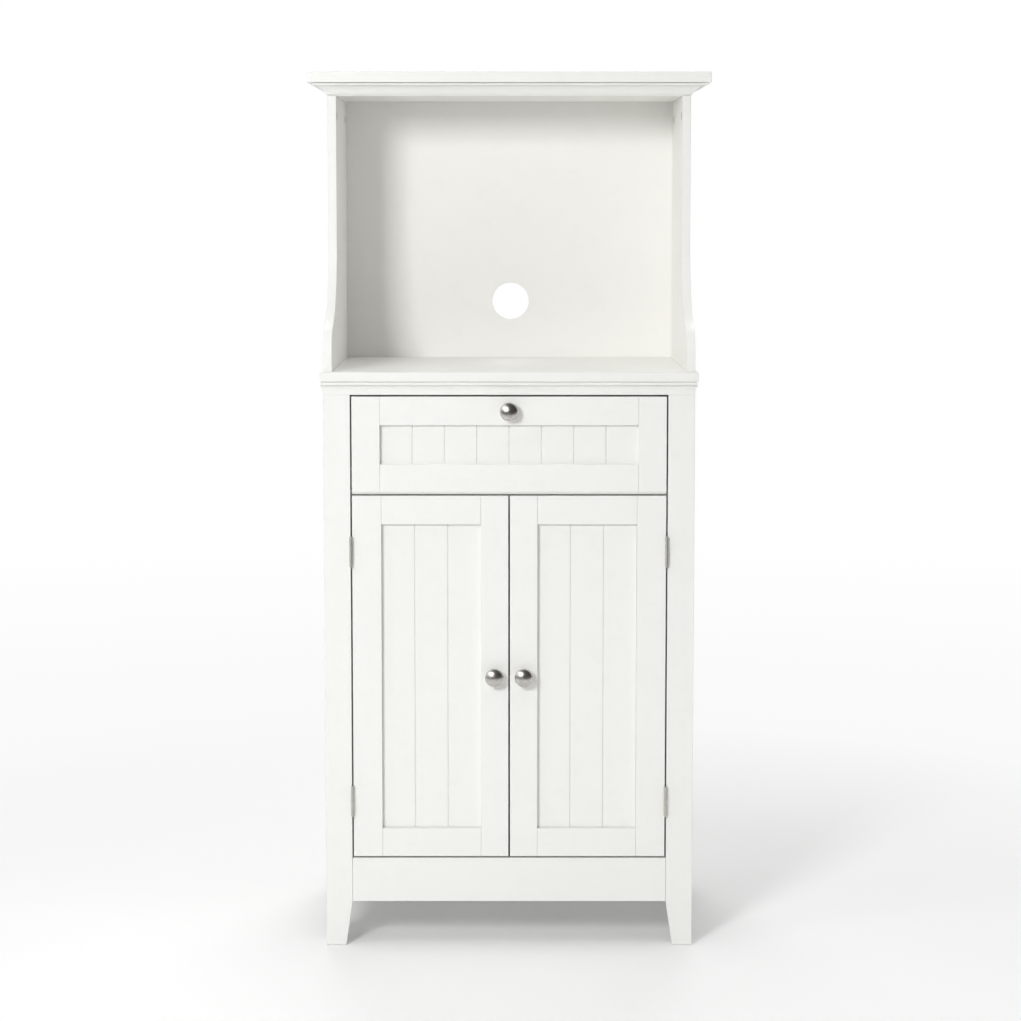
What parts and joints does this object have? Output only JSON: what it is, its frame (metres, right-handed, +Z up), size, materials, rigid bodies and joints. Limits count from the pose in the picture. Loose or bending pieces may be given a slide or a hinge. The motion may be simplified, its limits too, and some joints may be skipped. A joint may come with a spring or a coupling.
{
  "type": "microwave cabinet",
  "caption": "Painted cabinet with an open moulded-top bay for a microwave over a beadboard drawer and hinged beadboard doors, round nickel knobs, tapered feet, cord hole in the back.",
  "frame": {"origin": "on the floor, at the middle of the whole cabinet's width and depth", "axes": "+X to the viewer's right, -Y out of the doors towards the viewer, +Z up"},
  "size_m": [0.7016, 0.45, 1.5135],
  "materials": {
    "painted_board": "satin warm white paint on fibreboard",
    "back_panel": "white faced hardboard",
    "drawer_board": "white laminated board",
    "satin_nickel": "satin nickel plating",
    "zinc_steel": "zinc plated steel",
    "nylon": "moulded white nylon"
  },
  "bodies": {
    "cabinet": {"side_panel_left": "painted_board", "side_panel_right": "painted_board", "front_post_left": "painted_board", "front_post_right": "painted_board", "bottom_rail": "painted_board", "cabinet_floor": "painted_board", "divider_board": "painted_board", "rear_stretcher": "painted_board", "lower_back": "back_panel", "counter_slab": "painted_board", "counter_moulding": "painted_board", "hutch_side_left": "painted_board", "hutch_side_right": "painted_board", "hutch_back": "back_panel", "crown_board": "painted_board", "crown_moulding": "painted_board", "crown_slab": "painted_board", "cam_locks": "zinc_steel", "shelf": "painted_board", "shelf_pins": "zinc_steel", "slide_cleats": "painted_board", "slide_channel_left": "zinc_steel", "slide_channel_right": "zinc_steel", "magnetic_catch": "nylon", "post_hinge_leaves": "satin_nickel", "hinge_pins": "satin_nickel"},
    "drawer": {"drawer_front_stiles": "painted_board", "drawer_front_rails": "painted_board", "drawer_beadboard": "painted_board", "drawer_box_front": "drawer_board", "drawer_side_left": "drawer_board", "drawer_side_right": "drawer_board", "drawer_box_back": "drawer_board", "drawer_bottom": "drawer_board", "drawer_runner_left": "zinc_steel", "drawer_runner_right": "zinc_steel", "drawer_knob": "satin_nickel", "drawer_knob_screw": "zinc_steel"},
    "door_left": {"door_left_hinge_stile": "painted_board", "door_left_knob_stile": "painted_board", "door_left_rails": "painted_board", "door_left_beadboard": "painted_board", "door_left_hinge_leaves": "satin_nickel", "door_left_knob": "satin_nickel", "door_left_knob_screw": "zinc_steel", "door_left_strike": "zinc_steel"},
    "door_right": {"door_right_hinge_stile": "painted_board", "door_right_knob_stile": "painted_board", "door_right_rails": "painted_board", "door_right_beadboard": "painted_board", "door_right_hinge_leaves": "satin_nickel", "door_right_knob": "satin_nickel", "door_right_knob_screw": "zinc_steel", "door_right_strike": "zinc_steel"},
    "channel_roller_left": {"channel_roller_left": "nylon"},
    "runner_roller_left": {"runner_roller_left": "nylon"},
    "channel_roller_right": {"channel_roller_right": "nylon"},
    "runner_roller_right": {"runner_roller_right": "nylon"}
  },
  "joints": [
    {"name": "drawer_slide", "type": "slide", "parent": "cabinet", "child": "drawer", "axis": [0, -1, 0], "range_m": [0, 0.26]},
    {"name": "door_left_hinge", "type": "hinge", "parent": "cabinet", "child": "door_left", "pos_m": [-0.2706, -0.2024, 0.4728], "axis": [0, 0, -1], "range_deg": [0, 165]},
    {"name": "door_right_hinge", "type": "hinge", "parent": "cabinet", "child": "door_right", "pos_m": [0.2706, -0.2024, 0.4728], "axis": [0, 0, 1], "range_deg": [0, 165]},
    {"name": "channel_roller_left_spin", "type": "hinge", "parent": "cabinet", "child": "channel_roller_left", "pos_m": [-0.2672, -0.165, 0.8119], "axis": [1, 0, 0], "range_deg": [0, 1900]},
    {"name": "runner_roller_left_spin", "type": "hinge", "parent": "drawer", "child": "runner_roller_left", "pos_m": [-0.2639, 0.147, 0.8117], "axis": [1, 0, 0], "range_deg": [0, 1900]},
    {"name": "channel_roller_right_spin", "type": "hinge", "parent": "cabinet", "child": "channel_roller_right", "pos_m": [0.2672, -0.165, 0.8119], "axis": [1, 0, 0], "range_deg": [0, 1900]},
    {"name": "runner_roller_right_spin", "type": "hinge", "parent": "drawer", "child": "runner_roller_right", "pos_m": [0.2639, 0.147, 0.8117], "axis": [1, 0, 0], "range_deg": [0, 1900]}
  ],
  "couplings": [
    {"joint": "channel_roller_left_spin", "follows": "drawer_slide", "rad_per_m": 125},
    {"joint": "runner_roller_left_spin", "follows": "drawer_slide", "rad_per_m": 125},
    {"joint": "channel_roller_right_spin", "follows": "drawer_slide", "rad_per_m": 125},
    {"joint": "runner_roller_right_spin", "follows": "drawer_slide", "rad_per_m": 125}
  ]
}
